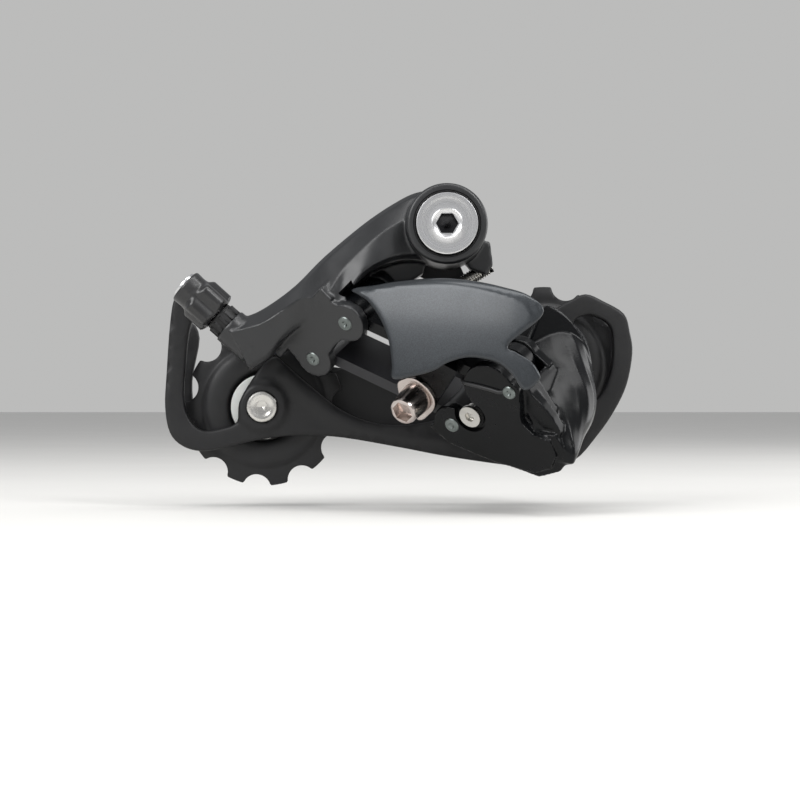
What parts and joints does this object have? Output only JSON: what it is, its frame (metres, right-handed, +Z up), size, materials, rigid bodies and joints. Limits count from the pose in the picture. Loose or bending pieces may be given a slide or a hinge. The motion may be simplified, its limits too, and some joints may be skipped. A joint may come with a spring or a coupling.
{
  "type": "rear bicycle derailleur",
  "caption": "Sprung rear derailleur with a slanted parallelogram, long open cage and two toothed pulleys, bolted to a frame's hanger.",
  "frame": {"origin": "on the hanger bolt's axis, at the face that seats on the frame's hanger", "axes": "+X forward on the bicycle, +Y inboard towards the wheel along the hanger bolt, +Z up; the drive side faces -Y"},
  "size_m": [0.1266, 0.0627, 0.0791],
  "materials": {
    "machined_aluminium": "turned, clear anodised",
    "black_steel": "black plated",
    "spring_steel": "bright",
    "satin_black_paint": "satin black on cast aluminium",
    "black_nylon": "moulded",
    "zinc_steel": "zinc plated",
    "bright_screw": "nickel plated",
    "knob_plastic": "moulded",
    "gloss_black_paint": "gloss black on cast aluminium",
    "grey_metallic_paint": "grey metallic gloss",
    "nickel_steel": "nickel plated",
    "pressed_steel": "black paint on pressed steel",
    "cage_black": "matte black on aluminium",
    "cap_plastic": "moulded, pale grey",
    "pulley_nylon": "moulded nylon"
  },
  "bodies": {
    "hanger_axle": {"hanger_bolt": "machined_aluminium", "stopper_plate": "black_steel", "b_circlip": "spring_steel"},
    "b_body": {"b_body": "satin_black_paint", "b_seal_ring": "black_nylon", "b_spring": "spring_steel", "b_pin_inner": "zinc_steel", "b_pin_outer": "zinc_steel", "adjuster_collar": "black_nylon"},
    "b_tension_screw": {"b_tension_screw": "bright_screw"},
    "h_limit_screw": {"h_limit_screw": "bright_screw"},
    "l_limit_screw": {"l_limit_screw": "bright_screw"},
    "adjuster_knob": {"adjuster_knob": "knob_plastic"},
    "adjuster_bolt": {"adjuster_bolt": "machined_aluminium"},
    "outer_link": {"outer_link": "gloss_black_paint", "link_cover": "grey_metallic_paint", "cable_bolt": "nickel_steel", "cable_plate": "nickel_steel"},
    "inner_link": {"inner_link": "pressed_steel"},
    "p_body": {"p_body": "gloss_black_paint", "p_pin_inner": "zinc_steel", "p_pin_outer": "zinc_steel", "spring_anchor_pin": "zinc_steel", "p_stop_screw": "bright_screw", "return_spring": "spring_steel", "p_spring": "spring_steel"},
    "cage": {"cage_outer_plate": "cage_black", "cage_inner_plate": "cage_black", "p_axle": "zinc_steel", "p_seal_ring": "black_nylon", "cage_stop_pin": "bright_screw", "guide_bolt": "bright_screw", "tension_bolt": "bright_screw", "guide_sleeve": "spring_steel", "tension_sleeve": "spring_steel", "guide_dust_caps": "cap_plastic", "tension_dust_caps": "cap_plastic"},
    "guide_pulley": {"guide_pulley": "pulley_nylon"},
    "tension_pulley": {"tension_pulley": "pulley_nylon"}
  },
  "joints": [
    {"name": "b_swing", "type": "hinge", "parent": "hanger_axle", "child": "b_body", "pos_m": [0, -0.0125, 0], "axis": [0, -1, 0], "range_deg": [0, 25], "stiffness_Nm_per_rad": 0.5, "springref_deg": -114.59, "deforming": ["b_spring"]},
    {"name": "b_tension_screw_travel", "type": "slide", "parent": "b_body", "child": "b_tension_screw", "axis": [0.8453, 0, 0.5344], "range_m": [0, 0.002]},
    {"name": "h_limit_screw_travel", "type": "slide", "parent": "b_body", "child": "h_limit_screw", "axis": [-0.7071, 0, 0.7071], "range_m": [0, 0.0015]},
    {"name": "l_limit_screw_travel", "type": "slide", "parent": "b_body", "child": "l_limit_screw", "axis": [-0.7071, 0, 0.7071], "range_m": [0, 0.0015]},
    {"name": "adjuster_turn", "type": "hinge", "parent": "b_body", "child": "adjuster_knob", "pos_m": [-0.0573, -0.007, -0.0254], "axis": [-0.7443, 0, 0.6678], "range_deg": [0, 1440.01]},
    {"name": "adjuster_advance", "type": "slide", "parent": "b_body", "child": "adjuster_bolt", "axis": [-0.7443, 0, 0.6678], "range_m": [0, 0.0032]},
    {"name": "link_swing", "type": "hinge", "parent": "b_body", "child": "outer_link", "pos_m": [-0.02135, -0.01344, -0.02055], "axis": [0.5, 0.7071, 0.5], "range_deg": [0, 62], "stiffness_Nm_per_rad": 0.35, "springref_deg": -91.67},
    {"name": "inner_link_swing", "type": "hinge", "parent": "b_body", "child": "inner_link", "pos_m": [-0.0302, -0.00093, -0.0294], "axis": [0.5, 0.7071, 0.5], "range_deg": [0, 62]},
    {"name": "p_body_swing", "type": "hinge", "parent": "outer_link", "child": "p_body", "pos_m": [0.01504, -0.0269, -0.03791], "axis": [0.5, 0.7071, 0.5], "range_deg": [-62, 0], "deforming": ["return_spring"]},
    {"name": "cage_swing", "type": "hinge", "parent": "p_body", "child": "cage", "pos_m": [0.025, 0, -0.047], "axis": [0, -1, 0], "range_deg": [0, 110], "stiffness_Nm_per_rad": 0.25, "springref_deg": -137.51, "deforming": ["p_spring"]},
    {"name": "guide_pulley_spin", "type": "hinge", "parent": "cage", "child": "guide_pulley", "pos_m": [0.0274, 0.01, -0.0358], "axis": [0, -1, 0], "continuous": true},
    {"name": "tension_pulley_spin", "type": "hinge", "parent": "cage", "child": "tension_pulley", "pos_m": [-0.04929, 0.01, -0.04699], "axis": [0, -1, 0], "continuous": true}
  ],
  "couplings": [
    {"joint": "inner_link_swing", "follows": "link_swing", "ratio": 1},
    {"joint": "p_body_swing", "follows": "link_swing", "ratio": -1},
    {"joint": "adjuster_turn", "follows": "adjuster_advance", "rad_per_m": 7854}
  ]
}
